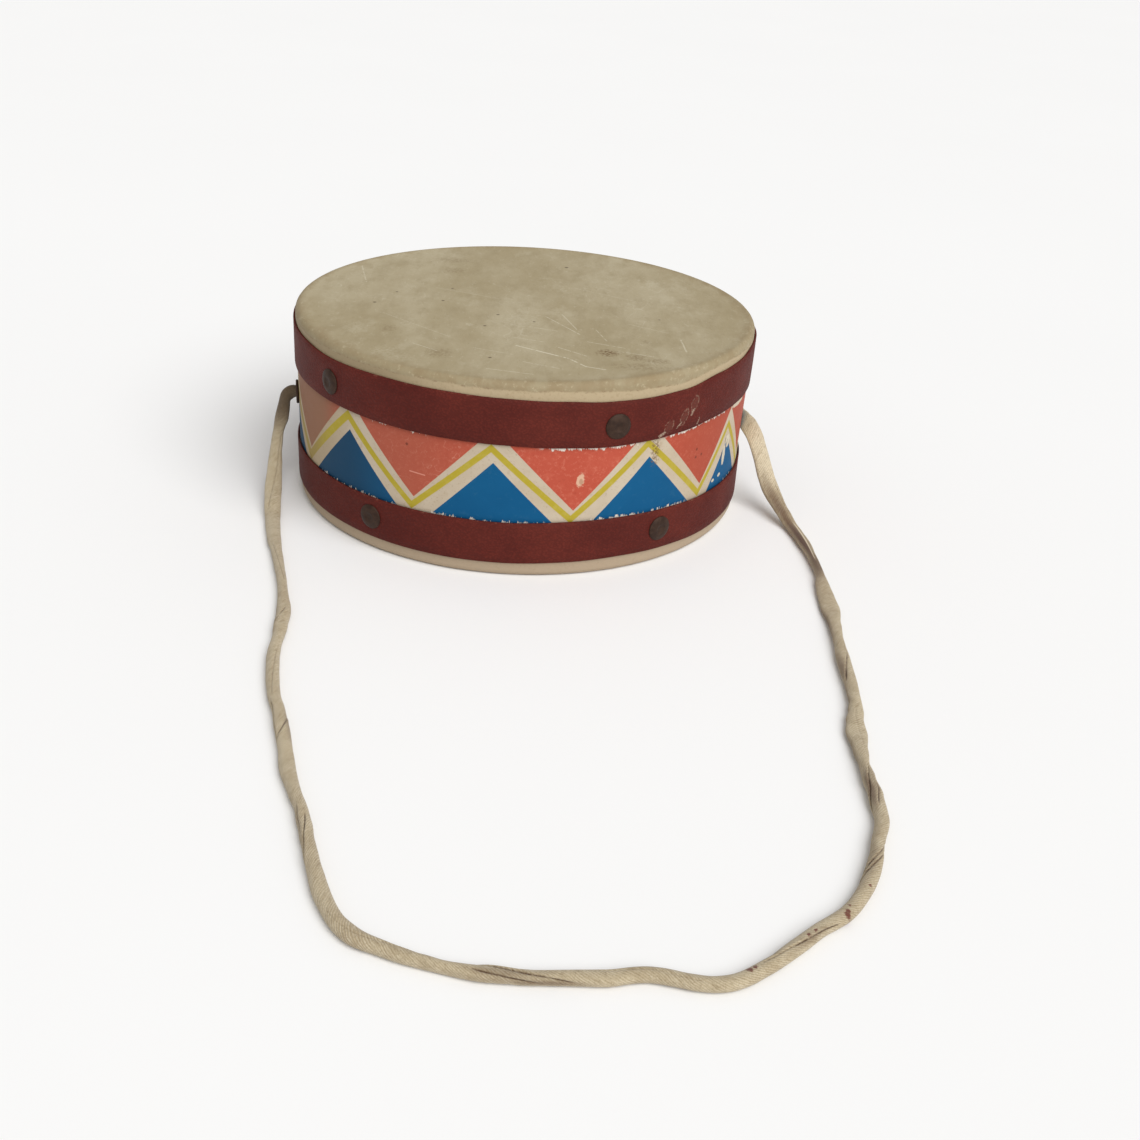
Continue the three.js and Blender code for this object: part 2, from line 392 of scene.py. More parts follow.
# How the folded tape lies along its length: distance in millimetres, half its width, half its
# thickness and how far it strays outwards
STRAP_FOLDS = [
    (0, 2.4, 2.3, 0), (4, 3, 1.7, 0), (9, 2.5, 1.7, -0.4), (16, 3.1, 1.7, -0.3),
    (23, 2.5, 1.9, 0.2), (30, 2.75, 1.9, 0.1), (38, 3.2, 1.8, 0), (50, 3.7, 1.6, 0),
    (60, 3.5, 1.6, 0), (72, 3.1, 1.8, -0.1), (88, 2.8, 1.9, -0.1), (100, 2.25, 2, -0.4),
    (122, 1.9, 2.1, -0.2), (134, 1.95, 2, -0.1), (150, 2.75, 1.9, -0.3), (160, 2.6, 2, 0.3),
    (170, 2.1, 2, 0.25), (188, 2.4, 2, -0.3), (206, 2.25, 2, -0.2), (216, 2.25, 2.1, -0.7),
    (228, 2.5, 2, -0.2), (237, 2.35, 2, 0.1), (248, 2.65, 1.9, 0.3), (262, 2.1, 2.1, -0.4),
    (270, 2, 2.2, -0.9), (278, 2.2, 2.1, -0.5), (286, 2.1, 2.2, 0.2), (296, 2.25, 2.1, 0.4),
    (308, 2.55, 2, 0.5), (320, 2.45, 2.1, 0.2), (328, 2.75, 2, -0.2), (340, 2.3, 1.9, -1),
    (350, 1.8, 1.9, -1.3), (356, 1.6, 1.9, -1), (368, 2.5, 1.8, -0.7), (380, 2, 1.9, 0.3),
    (398, 2.5, 1.8, 0.5), (410, 2.3, 1.9, -1.1), (422, 2.3, 1.9, -0.8), (434, 2.3, 1.9, -0.2),
    (446, 2.2, 2, -0.6), (452, 2.3, 2, -0.8), (464, 2.2, 2.1, -0.5), (476, 2.3, 2, 0.3),
    (488, 2.25, 2.1, 0), (500, 2.4, 2, 0.1), (510, 2, 2.1, 0.3), (524, 2.3, 2, 2.1),
    (536, 2.5, 2, 1.3), (545, 2.1, 2.1, -0.2), (552, 1.8, 2.1, -1), (560, 2.6, 1.9, -1.3),
    (571, 3.7, 1.5, -1.3), (578, 3.2, 1.7, -1), (584, 2.8, 1.8, 0), (590, 2.2, 2, 0.5),
    (602, 2.4, 1.9, 0.6), (616, 2.7, 1.8, 0.2), (632, 2, 2, 0.2), (644, 2.5, 1.8, 0.6),
    (657, 3.8, 1.4, 0.8), (668, 3.4, 1.5, 0.7), (675, 3, 1.6, 0.7), (685, 1.8, 1.9, 1.1),
    (700, 1.9, 1.9, 1), (714, 2.7, 1.7, 1.4), (728, 2.9, 1.6, 1.7), (740, 3.4, 1.6, 0.3),
    (754, 4.1, 1.6, 0), (766, 4, 1.4, 0), (776, 3.9, 1.3, -0.4), (784, 3.9, 1.1, -0.6),
    (790, 3.5, 1.1, -1), (797, 3, 0.9, -1.4), (804, 2.9, 0.9, -1.5), (810, 2.6, 1.6, -0.5),
    (818, 2.3, 2.3, 0),
]

# How far the tape's wide side leans from level: distance and degrees
STRAP_LEANS = [
    (0, 90), (4, 90), (9, 60), (16, 20), (23, 0), (740, 0), (754, 8), (766, 14), (776, 22),
    (784, 38), (790, 60), (797, 86), (804, 90), (818, 90),
]

# The tape's free edges, which lie as creases across its folds: distance and turn where each starts
# and ends, and how far the edge stands up. A turn of 0 is the loop's outer side, and 90 the top.
STRAP_CREASES = [
    (150, 166, 100, -10, 0.4), (212, 233, 40, 22, 0.35), (222, 234, 175, 30, 0.45), (271, 282, 48, 30, 0.3),
    (276, 299, 104, 0, 0.5), (364, 380, 80, 10, 0.4), (366, 389, 140, 20, 0.5), (443, 455, 112, 80, 0.25),
    (454, 471, 78, 28, 0.4), (494, 512, 184, 2, 0.4), (490, 507, 190, 18, 0.4), (528, 549, 182, 78, 0.5),
    (530, 546, 96, 40, 0.4), (603, 623, 134, 46, 0.45), (622, 645, 66, 20, 0.25), (686, 752, 74, 50, 0.5),
    (24, 64, 150, 60, 0.2), (96, 128, 60, 120, 0.2), (176, 208, 130, 70, 0.2), (318, 346, 60, 120, 0.15),
    (396, 424, 120, 66, 0.15), (556, 584, 60, 96, 0.15),
]
CREASE_FADE_OUT = 3
CREASE_FADE_IN = 2
CREASE_LIFT = 0.7
CREASE_FULL_RISE = 0.4
CREASE_REACH = 42
CREASE_WIDTH = 6.5
STRAP_RING_STEP = 0.8
STRAP_RING_POINTS = 80
STRAP_FLOOR = 0.05

# Heights of the middle line at which the tape rests on the floor, and no longer does
STRAP_LYING = 3.0
STRAP_LIFTED = 5.0

# Unevenness: share of the width, degrees of lean, and lumps as height, size and seed
STRAP_WIDTH_WANDER = 0.03
STRAP_LEAN_WANDER = 5
STRAP_LUMPS = [(0.09, 5, 3), (0.07, 11, 4)]

# How level the tape's cross direction has to be to steer its side, and how fast it does so
LEVEL_NEEDED = 0.2
SIDE_EASING = 0.15


def centripetal(points, step):
    """Points about that far apart on the centripetal Catmull-Rom curve through the given points."""
    ends = [points[0] * 2 - points[1], *points, points[-1] * 2 - points[-2]]
    line = []
    for p0, p1, p2, p3 in zip(ends, ends[1:], ends[2:], ends[3:]):
        d0, d1, d2 = ((b - a).length ** 0.5 for a, b in ((p0, p1), (p1, p2), (p2, p3)))
        start = ((p1 - p0) / d0 - (p2 - p0) / (d0 + d1) + (p2 - p1) / d1) * d1
        end = ((p2 - p1) / d1 - (p3 - p1) / (d1 + d2) + (p3 - p2) / d2) * d1
        count = max(1, round((p2 - p1).length / step))
        for i in range(count):
            t = i / count
            curve = p1 + start * t
            curve += (-3 * p1 + 3 * p2 - 2 * start - end) * t ** 2
            curve += (2 * p1 - 2 * p2 + start + end) * t ** 3
            line.append(curve)
    line.append(points[-1].copy())
    return line


def in_eyelet(angle, radius):
    return around(angle, radius, EYELET_HEIGHT)


def crease_form(distance, turn):
    """How far the tape stands out at a turn in degrees, and 1 in a crease's line, else towards 0."""
    raised = 0.0
    line = 0.0
    for first, last, turn_first, turn_last, rise in STRAP_CREASES:
        if not first - CREASE_FADE_OUT < distance < last + CREASE_FADE_OUT:
            continue
        share = (distance - first) / (last - first)
        away = turn - (turn_first + (turn_last - turn_first) * share)
        fade = smooth(distance, first - CREASE_FADE_OUT, first + CREASE_FADE_IN)
        fade *= smooth(distance, last + CREASE_FADE_OUT, last - CREASE_FADE_IN)
        near = math.exp(-(away / CREASE_WIDTH) ** 2) * fade
        raised -= rise * near
        if 0 < away < CREASE_REACH:
            lift = rise * CREASE_LIFT * fade * (1 - away / CREASE_REACH)
            raised += lift * smooth(away, 0, CREASE_WIDTH)
        line = max(line, near * min(1.0, rise / CREASE_FULL_RISE))
    return raised, line


def strap_frames(line):
    """For each point of the line, its level side, outwards from the loop, and its upright."""
    frames = []
    side = Vector((0, 1, 0))
    for i in range(len(line)):
        ahead = (line[min(i + 1, len(line) - 1)] - line[max(i - 1, 0)]).normalized()
        level = ahead.cross(Vector((0, 0, 1)))
        if level.length > LEVEL_NEEDED:
            side = side.lerp(level.normalized(), SIDE_EASING)
        side = (side - ahead * side.dot(ahead)).normalized()
        frames.append((side, side.cross(ahead)))
    return frames


def make_strap(material):
    """The tape folded into a flattened tube, with its free edges as creases along it."""
    route = [
        in_eyelet(LEFT_EYELET_ANGLE, EYELET_INSIDE),
        in_eyelet(LEFT_EYELET_ANGLE, EYELET_FACE),
        *[Vector(point) for point in STRAP_ROUTE],
        in_eyelet(RIGHT_EYELET_ANGLE, EYELET_FACE),
        in_eyelet(RIGHT_EYELET_ANGLE, EYELET_INSIDE),
    ]
    line = centripetal(route, STRAP_RING_STEP)
    distances = [0.0]
    for before, after in zip(line, line[1:]):
        distances.append(distances[-1] + (after - before).length)

    vertices = []
    values = {"along": [], "turn": [], "crease": []}
    for centre, distance, (side, upright) in zip(line, distances, strap_frames(line)):
        half_width, half_thickness, stray = blend_rows(STRAP_FOLDS, distance)
        half_width *= 1 + STRAP_WIDTH_WANDER * wander(centre, 9, 1)
        lean = blend_rows(STRAP_LEANS, distance)[0] + STRAP_LEAN_WANDER * wander(centre, 25, 2)
        lean = math.radians(lean)
        wide = side * math.cos(lean) + upright * math.sin(lean)
        thin = upright * math.cos(lean) - side * math.sin(lean)
        reach_down = math.hypot(half_thickness * math.cos(lean), half_width * math.sin(lean))
        rest = max(0.0, centre.z - reach_down - STRAP_FLOOR) * smooth(centre.z, STRAP_LIFTED, STRAP_LYING)
        middle = centre + side * stray - Vector((0, 0, rest))
        for j in range(STRAP_RING_POINTS):
            turn = 360 * j / STRAP_RING_POINTS - 90
            raised, crease = crease_form(distance, turn)
            x = math.cos(math.radians(turn))
            y = math.sin(math.radians(turn))
            spot = centre + thin * y * 4 + wide * x * 2
            raised += sum(height * wander(spot, size, seed) for height, size, seed in STRAP_LUMPS)
            point = middle + wide * x * (half_width + raised) + thin * y * (half_thickness + raised)
            point.z = max(point.z, STRAP_FLOOR)
            vertices.append(point * MM)
            values["along"].append(distance)
            values["turn"].append(turn)
            values["crease"].append(crease)
    faces = tube_faces(len(line), STRAP_RING_POINTS)
    strap = dress(make_object("strap_tape", vertices, faces, material, values), "strap_cotton", "strap")
    return strap


# Painted brown shade in the tape's folds and round its end at the left eyelet: distance and turn, half of
# its length and turn, and amount
STRAP_SHADES = [
    ((280, 30), (9, 30), 0.3), ((372, 70), (8, 30), 0.4), ((378, 15), (14, 26), 0.35),
    ((384, 0), (8, 20), 0.45), ((459, 50), (8, 24), 0.35), ((500, 110), (9, 40), 0.25),
    ((537, 128), (9, 34), 0.7), ((540, 70), (8, 16), 0.4), ((611, 140), (9, 34), 0.55),
    ((592, 175), (10, 24), 0.45), ((563, 175), (14, 26), 0.4), ((645, 172), (12, 30), 0.55),
    ((8, 90), (9, 600), 0.7), ((690, 90), (10, 70), 0.7), ((713, 118), (19, 32), 1),
    ((738, 110), (18, 34), 0.65), ((752, 178), (30, 24), 0.3), ((156, 20), (10, 30), 0.35),
    ((228, 150), (9, 30), 0.35), ((30, 0), (12, 24), 0.35),
]

# Painted highlights along free edges beside a brown fold: distance and turn at both ends
STRAP_EDGE_HIGHLIGHTS = [((699, 96), (726, 78))]

# Red-brown stains on the strap: place and radius in millimetres
STRAP_STAINS = [
    ((65.6, -318.4), 1.2), ((67.2, -317.4), 0.9), ((95.8, -296.2), 1.2), ((96.2, -295), 1),
    ((97, -292.6), 0.6), ((104.8, -284), 0.6), ((83.4, -305.2), 0.8), ((85.6, -303.4), 0.7),
]


def cotton_paint():
    paint = Paint("cotton_tape", sheen_weight=0.2, sheen_roughness=0.6, specular_ior_level=0.2)
    along, turn, crease = [paint.value(name) for name in ("along", "turn", "crease")]
    place = paint.vector(along, turn)
    across = along * 0.85 + turn * 0.045
    lay = paint.noise(3.5, 2, 0.5, 15)
    fibre = paint.noise(0.5, 2, 0.6)
    ribs = abs(((across + lay * 1.4).fract() - 0.5) * 2)
    streak = paint.noise(0.9, 3, 0.75, 6, paint.vector(across, turn * 0.012, along * 0.05))
    soiling = paint.noise(22, 4, 0.65, 4).step(0.38, 0.72)
    blotch = paint.noise(5, 3, 0.6, 9).step(0.45, 0.75)
    # Painted light: the tape's end by the right eyelet is painted paler, as if lit
    painted_light_end = along.step(744, 760) * along.step(812, 800)
    color = paint.coats(
        (188, 173, 144),
        (soiling, (172, 155, 126)),
        (blotch * 0.4, (152, 134, 104)),
        (along.step(640, 700) * 0.4, (150, 129, 101)),
        # painted light on the tape's end by the right eyelet
        (painted_light_end * 0.75, (216, 202, 174)),
        (ribs.step(0.45, 0.95) * lay.step(0.3, 0.6) * 0.4, (216, 205, 180)),
        (ribs.step(0.4, 0.05) * 0.3, (134, 116, 86)),
        (streak.step(0.53, 0.68) * 0.5, (130, 110, 80)),
        (streak.step(0.45, 0.3) * 0.4, (216, 206, 182)),
        (fibre.step(0.48, 0.68) * 0.4, (128, 110, 82)),
    )
    # Painted shade in the tape's folds
    for centre, size, amount in STRAP_SHADES:
        shade = paint.patch(place, centre, size, 0.7, 0.5, 5)
        color = paint.mix(shade * amount, color, (88, 60, 40))
    # Painted highlights along the free edges beside the folds
    for start, end in STRAP_EDGE_HIGHLIGHTS:
        color = paint.mix(paint.line(place, start, end, 6) * 0.9, color, (222, 208, 180))
    # Painted shade along the creases, broken up by noise
    broken = paint.noise(3, 3, 0.7, 33).step(0.34, 0.56) * 0.65 + 0.3
    color = paint.coats(
        color,
        (crease.step(0.1, 0.9) * broken * (fibre + 0.45), (80, 57, 36)),
        (along.step(30, 9) * (fibre * 0.7 + 0.45), (84, 70, 52)),
    )
    x, y, _ = paint.split(paint.mm)
    for (stain_x, stain_y), size in STRAP_STAINS:
        reach = paint.length(paint.vector(x - stain_x, y - stain_y)) + (fibre - 0.5) * 1.6
        color = paint.mix(reach.step(size, size * 0.5) * 0.9, color, (96, 34, 18))
    return paint.finish(color, 0.9, ribs * 0.6 + fibre * 0.5, 0.16)


make_strap(cotton_paint())


# Heads: one skin drawn over the hoop's end and turned down under its band

HEAD_EDGE_RADIUS = 2.6
HEAD_SIDES = 240
HEAD_RINGS = 60
SKIN_THICKNESS = 0.4
HOOP_BORE = 95.0
SKIN_SINK = 0.22
SKIN_WAVE = 0.09
SKIN_DENT = 0.1

# Marks on the playing head: place, half sizes and strength
HEAD_BROWN_MARKS = [
    ((34, -59), (3.6, 3.4), 1), ((45, -63), (3.6, 3), 0.55), ((53.5, -66.5), (4, 2.6), 0.5),
    ((50, -42.5), (1.4, 1.8), 0.45), ((-56, -40), (3, 3.6), 0.35), ((-33.5, -68), (4.5, 4.6), 0.4),
    ((-34, 49), (4.5, 4), 0.35), ((-35, 67), (8, 4), 0.3), ((46, -74), (10, 3.6), 0.35),
]
HEAD_PALE_CLOUDS = [
    ((-69, -42), (5, 7), 0.22), ((-54, -69), (5, 5.5), 0.25), ((-48, -77), (6, 4), 0.2),
    ((-2, -22), (7, 9), 0.25), ((59, 43), (3, 6), 0.3), ((-23, -31), (1.2, 1.6), 0.5),
]

# Pale scratches: both ends, half the width and strength
HEAD_SCRATCHES = [
    ((-3, -55), (5, -60), 0.45, 0.7), ((5, -60), (18, -68), 0.5, 0.8),
    ((18, -68), (24.5, -76.5), 0.5, 0.7), ((24.5, -76.5), (32, -79), 0.45, 0.6),
    ((14, -55), (25, -64), 0.4, 0.5), ((9, -15), (23, -37), 0.45, 0.45),
    ((16, -11), (22, -31), 0.4, 0.4), ((65, -38), (66, -53), 0.5, 0.45),
    ((-77, 50), (-72, 24), 0.5, 0.35), ((-40, 20), (-12, 8), 0.35, 0.25),
    ((22, 30), (52, 12), 0.35, 0.25), ((-60, -20), (-30, -48), 0.35, 0.25),
    ((2, -30), (14, -34), 0.35, 0.45), ((-6, -44), (8, -49), 0.35, 0.4),
    ((26, -46), (41, -52), 0.4, 0.45), ((30, -30), (34, -44), 0.35, 0.4),
    ((40, -57), (52, -61), 0.4, 0.45), ((-20, -60), (-4, -66), 0.35, 0.3),
    ((-44, -58), (-34, -66), 0.4, 0.35), ((0, -74), (14, -80), 0.35, 0.4),
    ((44, -20), (60, -30), 0.3, 0.3), ((-14, -84), (4, -88), 0.35, 0.4),
]
HEAD_SPECKS = [
    ((-65, -6), 0.8), ((-57, 11), 0.6), ((-11.5, -15.5), 0.7), ((-16.5, -31.5), 0.7),
    ((-36, 1), 0.7), ((-33, 20), 0.6), ((19, 64), 0.9), ((-13, -71), 0.7),
    ((58, -12), 0.5), ((4, -22.9), 0.6),
]

# Depth below the playing head's face where its corner, painted darker as painted shade, ends and the pale
# wall starts
RIM_EDGE = [
    (-180, 2.6), (-60, 2.4), (-16, 2.3), (-5, 2.9), (8, 2.9), (17, 3.4), (27, 4.2), (38, 4.4), (52, 2.3),
    (180, 2.6),
]


def skin_paint(name, marked):
    paint = Paint(name, specular_ior_level=0.3)
    x, y, _ = paint.split(paint.mm)
    radius = paint.length(paint.vector(x, y))
    lengthwise = (1, 0.5, 1)
    cloud = paint.noise(34, 5, 0.64, 3, None, lengthwise)
    thin = paint.noise(15, 5, 0.66, 21, None, lengthwise)
    mottle = paint.noise(7, 5, 0.66, 5, None, lengthwise)
    fine = paint.noise(1.1, 3, 0.6, 8, None, lengthwise)
    fleck = paint.noise(2, 4, 0.7, 12, None, lengthwise)
    color = paint.coats(
        (162, 148, 117),
        (cloud.step(0.35, 0.66), (177, 165, 137)),
        (mottle.step(0.44, 0.7) * 0.4, (148, 133, 102)),
        (thin.step(0.55, 0.72) * 0.4, (188, 178, 152)),
        (fleck.step(0.58, 0.72) * 0.3, (199, 190, 166)),
        (fine.step(0.6, 0.76) * 0.28, (128, 112, 84)),
    )
    for size, seed in ((26, 51), (19, 63), (31, 77)):
        hair = abs(paint.noise(size, 2, 0.5, seed, None, (1, 0.7, 1)) - 0.5).step(0.0035, 0.001)
        color = paint.mix(hair * cloud.step(0.5, 0.6) * 0.2, color, (206, 198, 174))
    if marked:
        color = rim_shade_and_specks(paint, color, x, radius, mottle, fine, fleck)
        color = head_marks(paint, color, paint.vector(x, y), fine)
    else:
        pale = paint.mix(fine.step(0.55, 0.75) * 0.3, (171, 152, 128), (146, 124, 100))
        color = paint.mix(radius.step(95.5, 97), color, pale)
    height = cloud * 1.2 + mottle * 0.6 + fine * 0.25 + fleck * 0.25
    return paint.finish(color, 0.62 + fine * 0.12, height, 0.35)


def rim_shade_and_specks(paint, color, x, radius, mottle, fine, fleck):
    """The playing head's corner, painted darker as painted shade with brown specks and pale flecks in it,
    and the pale wall below it, painted darker towards the left as painted shade.
    """
    ragged = (paint.noise(5, 4, 0.65, 31) - 0.5) * 4
    speckle = paint.noise(1.7, 4, 0.75, 41).step(0.46, 0.6)
    pale = paint.mix(fine.step(0.5, 0.72) * 0.4, (178, 160, 129), (150, 129, 97))
    # Painted shade: the pale wall darker towards the left, away from the light
    pale = paint.mix(x.step(-22, -58) * 0.8, pale, (150, 133, 103))
    # Painted shade: the corner painted darker so it shows no brighter than the face, with specks and flecks
    # in it
    corner_shade = paint.coats(
        (150, 136, 106),
        (mottle.step(0.35, 0.62), (140, 122, 91)),
        (speckle * 0.45, (140, 120, 88)),
        (fleck.step(0.56, 0.66) * 0.4, (196, 182, 152)),
    )
    shoulder = (radius + ragged).step(90, 96)
    color = paint.mix(shoulder * mottle.step(0.4, 0.6) * 0.3, color, (152, 132, 98))
    color = paint.mix((radius + ragged * 0.35).step(93.5, 98) * 0.6, color, corner_shade)
    edge = paint.value("drop") - 0.4 + (mottle - 0.5) * 2.2 + (fine - 0.5) * 0.7
    color = paint.mix(edge.step(-0.5, 0.5), color, pale)
    return paint.mix(abs(edge).step(0.45, 0.1) * speckle * 0.4, color, (112, 84, 56))


def head_marks(paint, color, flat, fine):
    grain = paint.noise(1.3, 4, 0.8, 44, flat).step(0.4, 0.56)
    for marks, tone in ((HEAD_BROWN_MARKS, (116, 94, 62)), (HEAD_PALE_CLOUDS, (200, 192, 168))):
        for centre, size, amount in marks:
            mark = paint.patch(flat, centre, size, 0.6, 3.2, 1.3)
            color = paint.coats(color, (mark * grain * amount, tone))
    for start, end, width, amount in HEAD_SCRATCHES:
        mark = paint.line(flat, start, end, width)
        color = paint.mix(mark * fine.step(0.36, 0.5) * amount, color, (216, 209, 186))
    for centre, size in HEAD_SPECKS:
        mark = paint.patch(flat, centre, (size, size), 0.3)
        color = paint.mix(mark * 0.75, color, (84, 68, 50))
    return color


def head_profile():
    """Outside then inside of a head that faces up, as (radius, depth below its face)."""
    bend = SKIN_RADIUS / MM - HEAD_EDGE_RADIUS
    inner = HEAD_EDGE_RADIUS - SKIN_THICKNESS
    flat = [(bend * i / HEAD_RINGS, 0.0) for i in range(HEAD_RINGS)]
    corner = arc(bend, HEAD_EDGE_RADIUS, HEAD_EDGE_RADIUS, -90, 0, 10)
    under = arc(bend, HEAD_EDGE_RADIUS, inner, 0, -90, 6)
    depth = (DRUM_TOP - UPPER_SKIRT_END) / MM
    outer_wall = [(SKIN_RADIUS / MM, depth * share) for share in (0.35, 0.7, 1.0)]
    inner_wall = [(SKIN_RADIUS / MM - SKIN_THICKNESS, depth * share) for share in (1.0, 0.7, 0.35)]
    back = [(bend * share, SKIN_THICKNESS) for share in (0.9, 0.6, 0.3, 0.0)]
    return [*flat, *corner, *outer_wall, *inner_wall, *under, *back]


def make_head(name, node, material, face, up, seed):
    """face is the height of the head's flat face, and up is 1 for the upper head, -1 for the lower."""
    def place(angle, radius, depth):
        spot = around(angle, radius, 0)
        sink = SKIN_SINK * smooth(radius, HOOP_BORE + 1.2, HOOP_BORE - 2.5)
        sink += SKIN_WAVE * (1 + wander(spot, 24, seed)) * smooth(radius, HOOP_BORE + 1, HOOP_BORE - 8)
        dent = SKIN_DENT * (1 + wander(spot, 7, seed + 1)) * smooth(depth, 6, 0)
        point = around(angle, radius - dent * smooth(radius, 96, 99), 0)
        point.z = face / MM - up * (depth + sink)
        return out_of_round(point) * MM

    def drop(angle, radius, depth):
        return depth - blend_rows(RIM_EDGE, angle if angle <= 180 else angle - 360)[0]

    profile = head_profile()
    profile = profile if up > 0 else profile[::-1]
    head = turned(name, profile, HEAD_SIDES, place, material, {"drop": drop})
    return dress(head, "head_skin", node)


make_head("upper_skin", "upper_head", skin_paint("upper_skin", True), DRUM_TOP, 1, 11)
make_head("lower_skin", "lower_head", skin_paint("lower_skin", False), 0.0, -1, 23)


# Strips that go once round the drum and lap over themselves at the back

STRIP_STEP_ANGLE = 0.75
LAP_ANGLE = 7.0
LAP_RISE_ANGLE = 1.2
LAP_RISE = 1.04
STRIP_ROUNDING = 0.35
STRIP_FLUTTER = 0.06


def make_strip(name, node, slot, material, inner, thickness, edges, rows=5, between=None):
    """A closed strip. edges(angle) gives its lowest and highest point, and inner its inner radius,
    all in millimetres. Its outer end lies on its inner end, and shows at the back. Where between
    is given, each vertex stores how far it is above the one edge and below the other."""
    steps = round((360 + LAP_ANGLE) / STRIP_STEP_ANGLE)
    start = -180 - LAP_ANGLE
    round_over = thickness * STRIP_ROUNDING
    between = between or edges
    vertices = []
    above = []
    below = []
    for i in range(steps + 1):
        angle = start + (360 + LAP_ANGLE) * i / steps
        lift = thickness * LAP_RISE * smooth(angle, 180 - LAP_ANGLE - LAP_RISE_ANGLE, 180 - LAP_ANGLE)
        low, high = edges(angle)
        near = inner + lift
        far = near + thickness
        loop = [(near, low), (far - round_over, low), (far, low + round_over)]
        for k in range(1, rows):
            share = k / rows
            loop.append((far, low + round_over + (high - low - 2 * round_over) * share))
        loop += [(far, high - round_over), (far - round_over, high), (near, high)]
        for radius, height in loop:
            spot = around(angle, radius, height)
            flutter = STRIP_FLUTTER * wander(spot, 16, len(name))
            foot, head = between(angle)
            above.append(height - foot)
            below.append(head - height)
            vertices.append(out_of_round(around(angle, radius + flutter, height)) * MM)
    faces = tube_faces(steps + 1, len(loop))
    values = {"above": above, "below": below}
    return dress(make_object(name, vertices, faces, material, values), slot, node)


# Bands: maroon leathercloth, cut by hand, so their edges waver a little

BAND_THICKNESS = 0.75
BAND_SINK = 0.12
EDGE_WAVER = 0.14


def band_paint():
    paint = Paint("leathercloth", specular_ior_level=0.14)
    flat = round_coordinates(paint)[2]
    pebble = paint.cells(0.85, flat, (0.8, 1.1, 1))
    grain = paint.noise(0.6, 3, 0.6, 2, flat)
    tone = paint.noise(26, 4, 0.6, 6, flat)
    smear = paint.noise(7, 4, 0.65, 7, flat, (0.6, 1, 1))
    color = paint.coats(
        (90, 32, 25),
        (tone.step(0.35, 0.68), (102, 39, 30)),
        (smear.step(0.5, 0.75) * 0.3, (76, 28, 24)),
        (pebble.step(0.2, 0.6) * 0.35, (58, 19, 16)),
        (grain.step(0.62, 0.78) * 0.3, (128, 62, 50)),
    )
    for place, size, lean in BAND_SCUFFS:
        mark = scuff_ring(paint, flat, place, size, lean)
        color = paint.mix(mark * 0.5, color, (150, 122, 104))
    for start, end, width in BAND_SCRATCHES:
        mark = paint.line(flat, flat_place(*start), flat_place(*end), width)
        color = paint.mix(mark * grain.step(0.35, 0.6) * 0.8, color, (176, 156, 136))
    edge = paint.value("above").less(paint.value("below"))
    worn = edge.step(0.6, 0.1) * paint.noise(2.4, 3, 0.7, 14, flat).step(0.54, 0.7)
    color = paint.mix(worn * 0.35, color, (140, 96, 78))
    relief = pebble * -1.0 + grain * 0.5 + smear * 0.5
    return paint.finish(color, 0.55 + smear * 0.2, relief, 0.16)


def scuff_ring(paint, flat, place, size, lean):
    """A broken oval where a blister of the cloth has been rubbed pale."""
    turn = math.radians(lean)
    x, y = flat_place(*place)
    offset = paint.vector_math("SUBTRACT", flat, (x, y, 0.0))
    across, up, _ = paint.split(offset)
    u = (across * math.cos(turn) + up * math.sin(turn)) / size[0]
    v = (up * math.cos(turn) - across * math.sin(turn)) / size[1]
    crumple = (paint.noise(1.6, 3, 0.7, x, flat) - 0.5) * 0.7
    reach = paint.length(paint.vector(u, v)) + crumple
    ring = abs(reach - 0.85).step(0.2, 0.04)
    broken = paint.noise(1.4, 3, 0.7, y, flat).step(0.42, 0.56)
    return (ring * broken).either(reach.step(0.85, 0.5) * 0.16)


# Pale crinkled scuffs on the upper band, right of its front tack: place as angle and height,
# half width and half height, and lean in degrees
BAND_SCUFFS = [
    ((43.5, 67.3), (2.2, 3.8), -18), ((40.3, 62.6), (2, 3.8), -28), ((35.8, 60.1), (2.3, 3.4), -25),
]

# Pale scratches: both ends as angle and height, and half the width
BAND_SCRATCHES = [
    ((42.6, 62.8), (43.4, 64.8), 0.7), ((33.2, 56.8), (34.6, 57.8), 0.9), ((45, 57.9), (45.6, 60.2), 0.5),
    ((38.2, 58.8), (39.6, 60.6), 0.5), ((24.8, 63.2), (25.1, 63.6), 0.4),
]

# How far the hand-cut edges stray from their heights: angle, lower edge and upper edge
UPPER_BAND_STRAY = [
    (-90, 1, 2.2), (-65, 0.9, 1.4), (-50, 0.8, 0.6), (-33, 0.5, 1), (-19, 0.3, 0.7), (-5, -0.1, 0.2),
    (9, -0.8, -0.4), (20, -1.4, -1.3), (30, -1.1, -1.6), (40, -0.5, -1.2), (52, 0.6, 1), (63, 1, 1.5),
    (72, 1, 2.5), (80, 1, 3), (90, 0.8, 2.5), (110, 0, 1), (150, 0, 0),
]
LOWER_BAND_STRAY = [
    (-80, 0.3, -0.5), (-50, 0, -0.4), (-30, -0.2, -0.2), (-5, -0.1, -0.1), (12, 0.3, 0.4),
    (23, 0.6, 0.3), (37, 0.1, 0), (51, -0.5, -0.9), (62, -0.4, -1.2), (90, 0, -0.4), (120, 0, 0),
]


def wavering(low, high, seed, stray):
    def edges(angle):
        spot = around(angle, 100, 0)
        lower_stray, upper_stray = blend_rows(stray, angle)
        lower = low / MM + lower_stray + EDGE_WAVER * wander(spot, 34, seed)
        upper = high / MM + upper_stray + EDGE_WAVER * wander(spot, 34, seed + 5)
        return lower, upper
    return edges


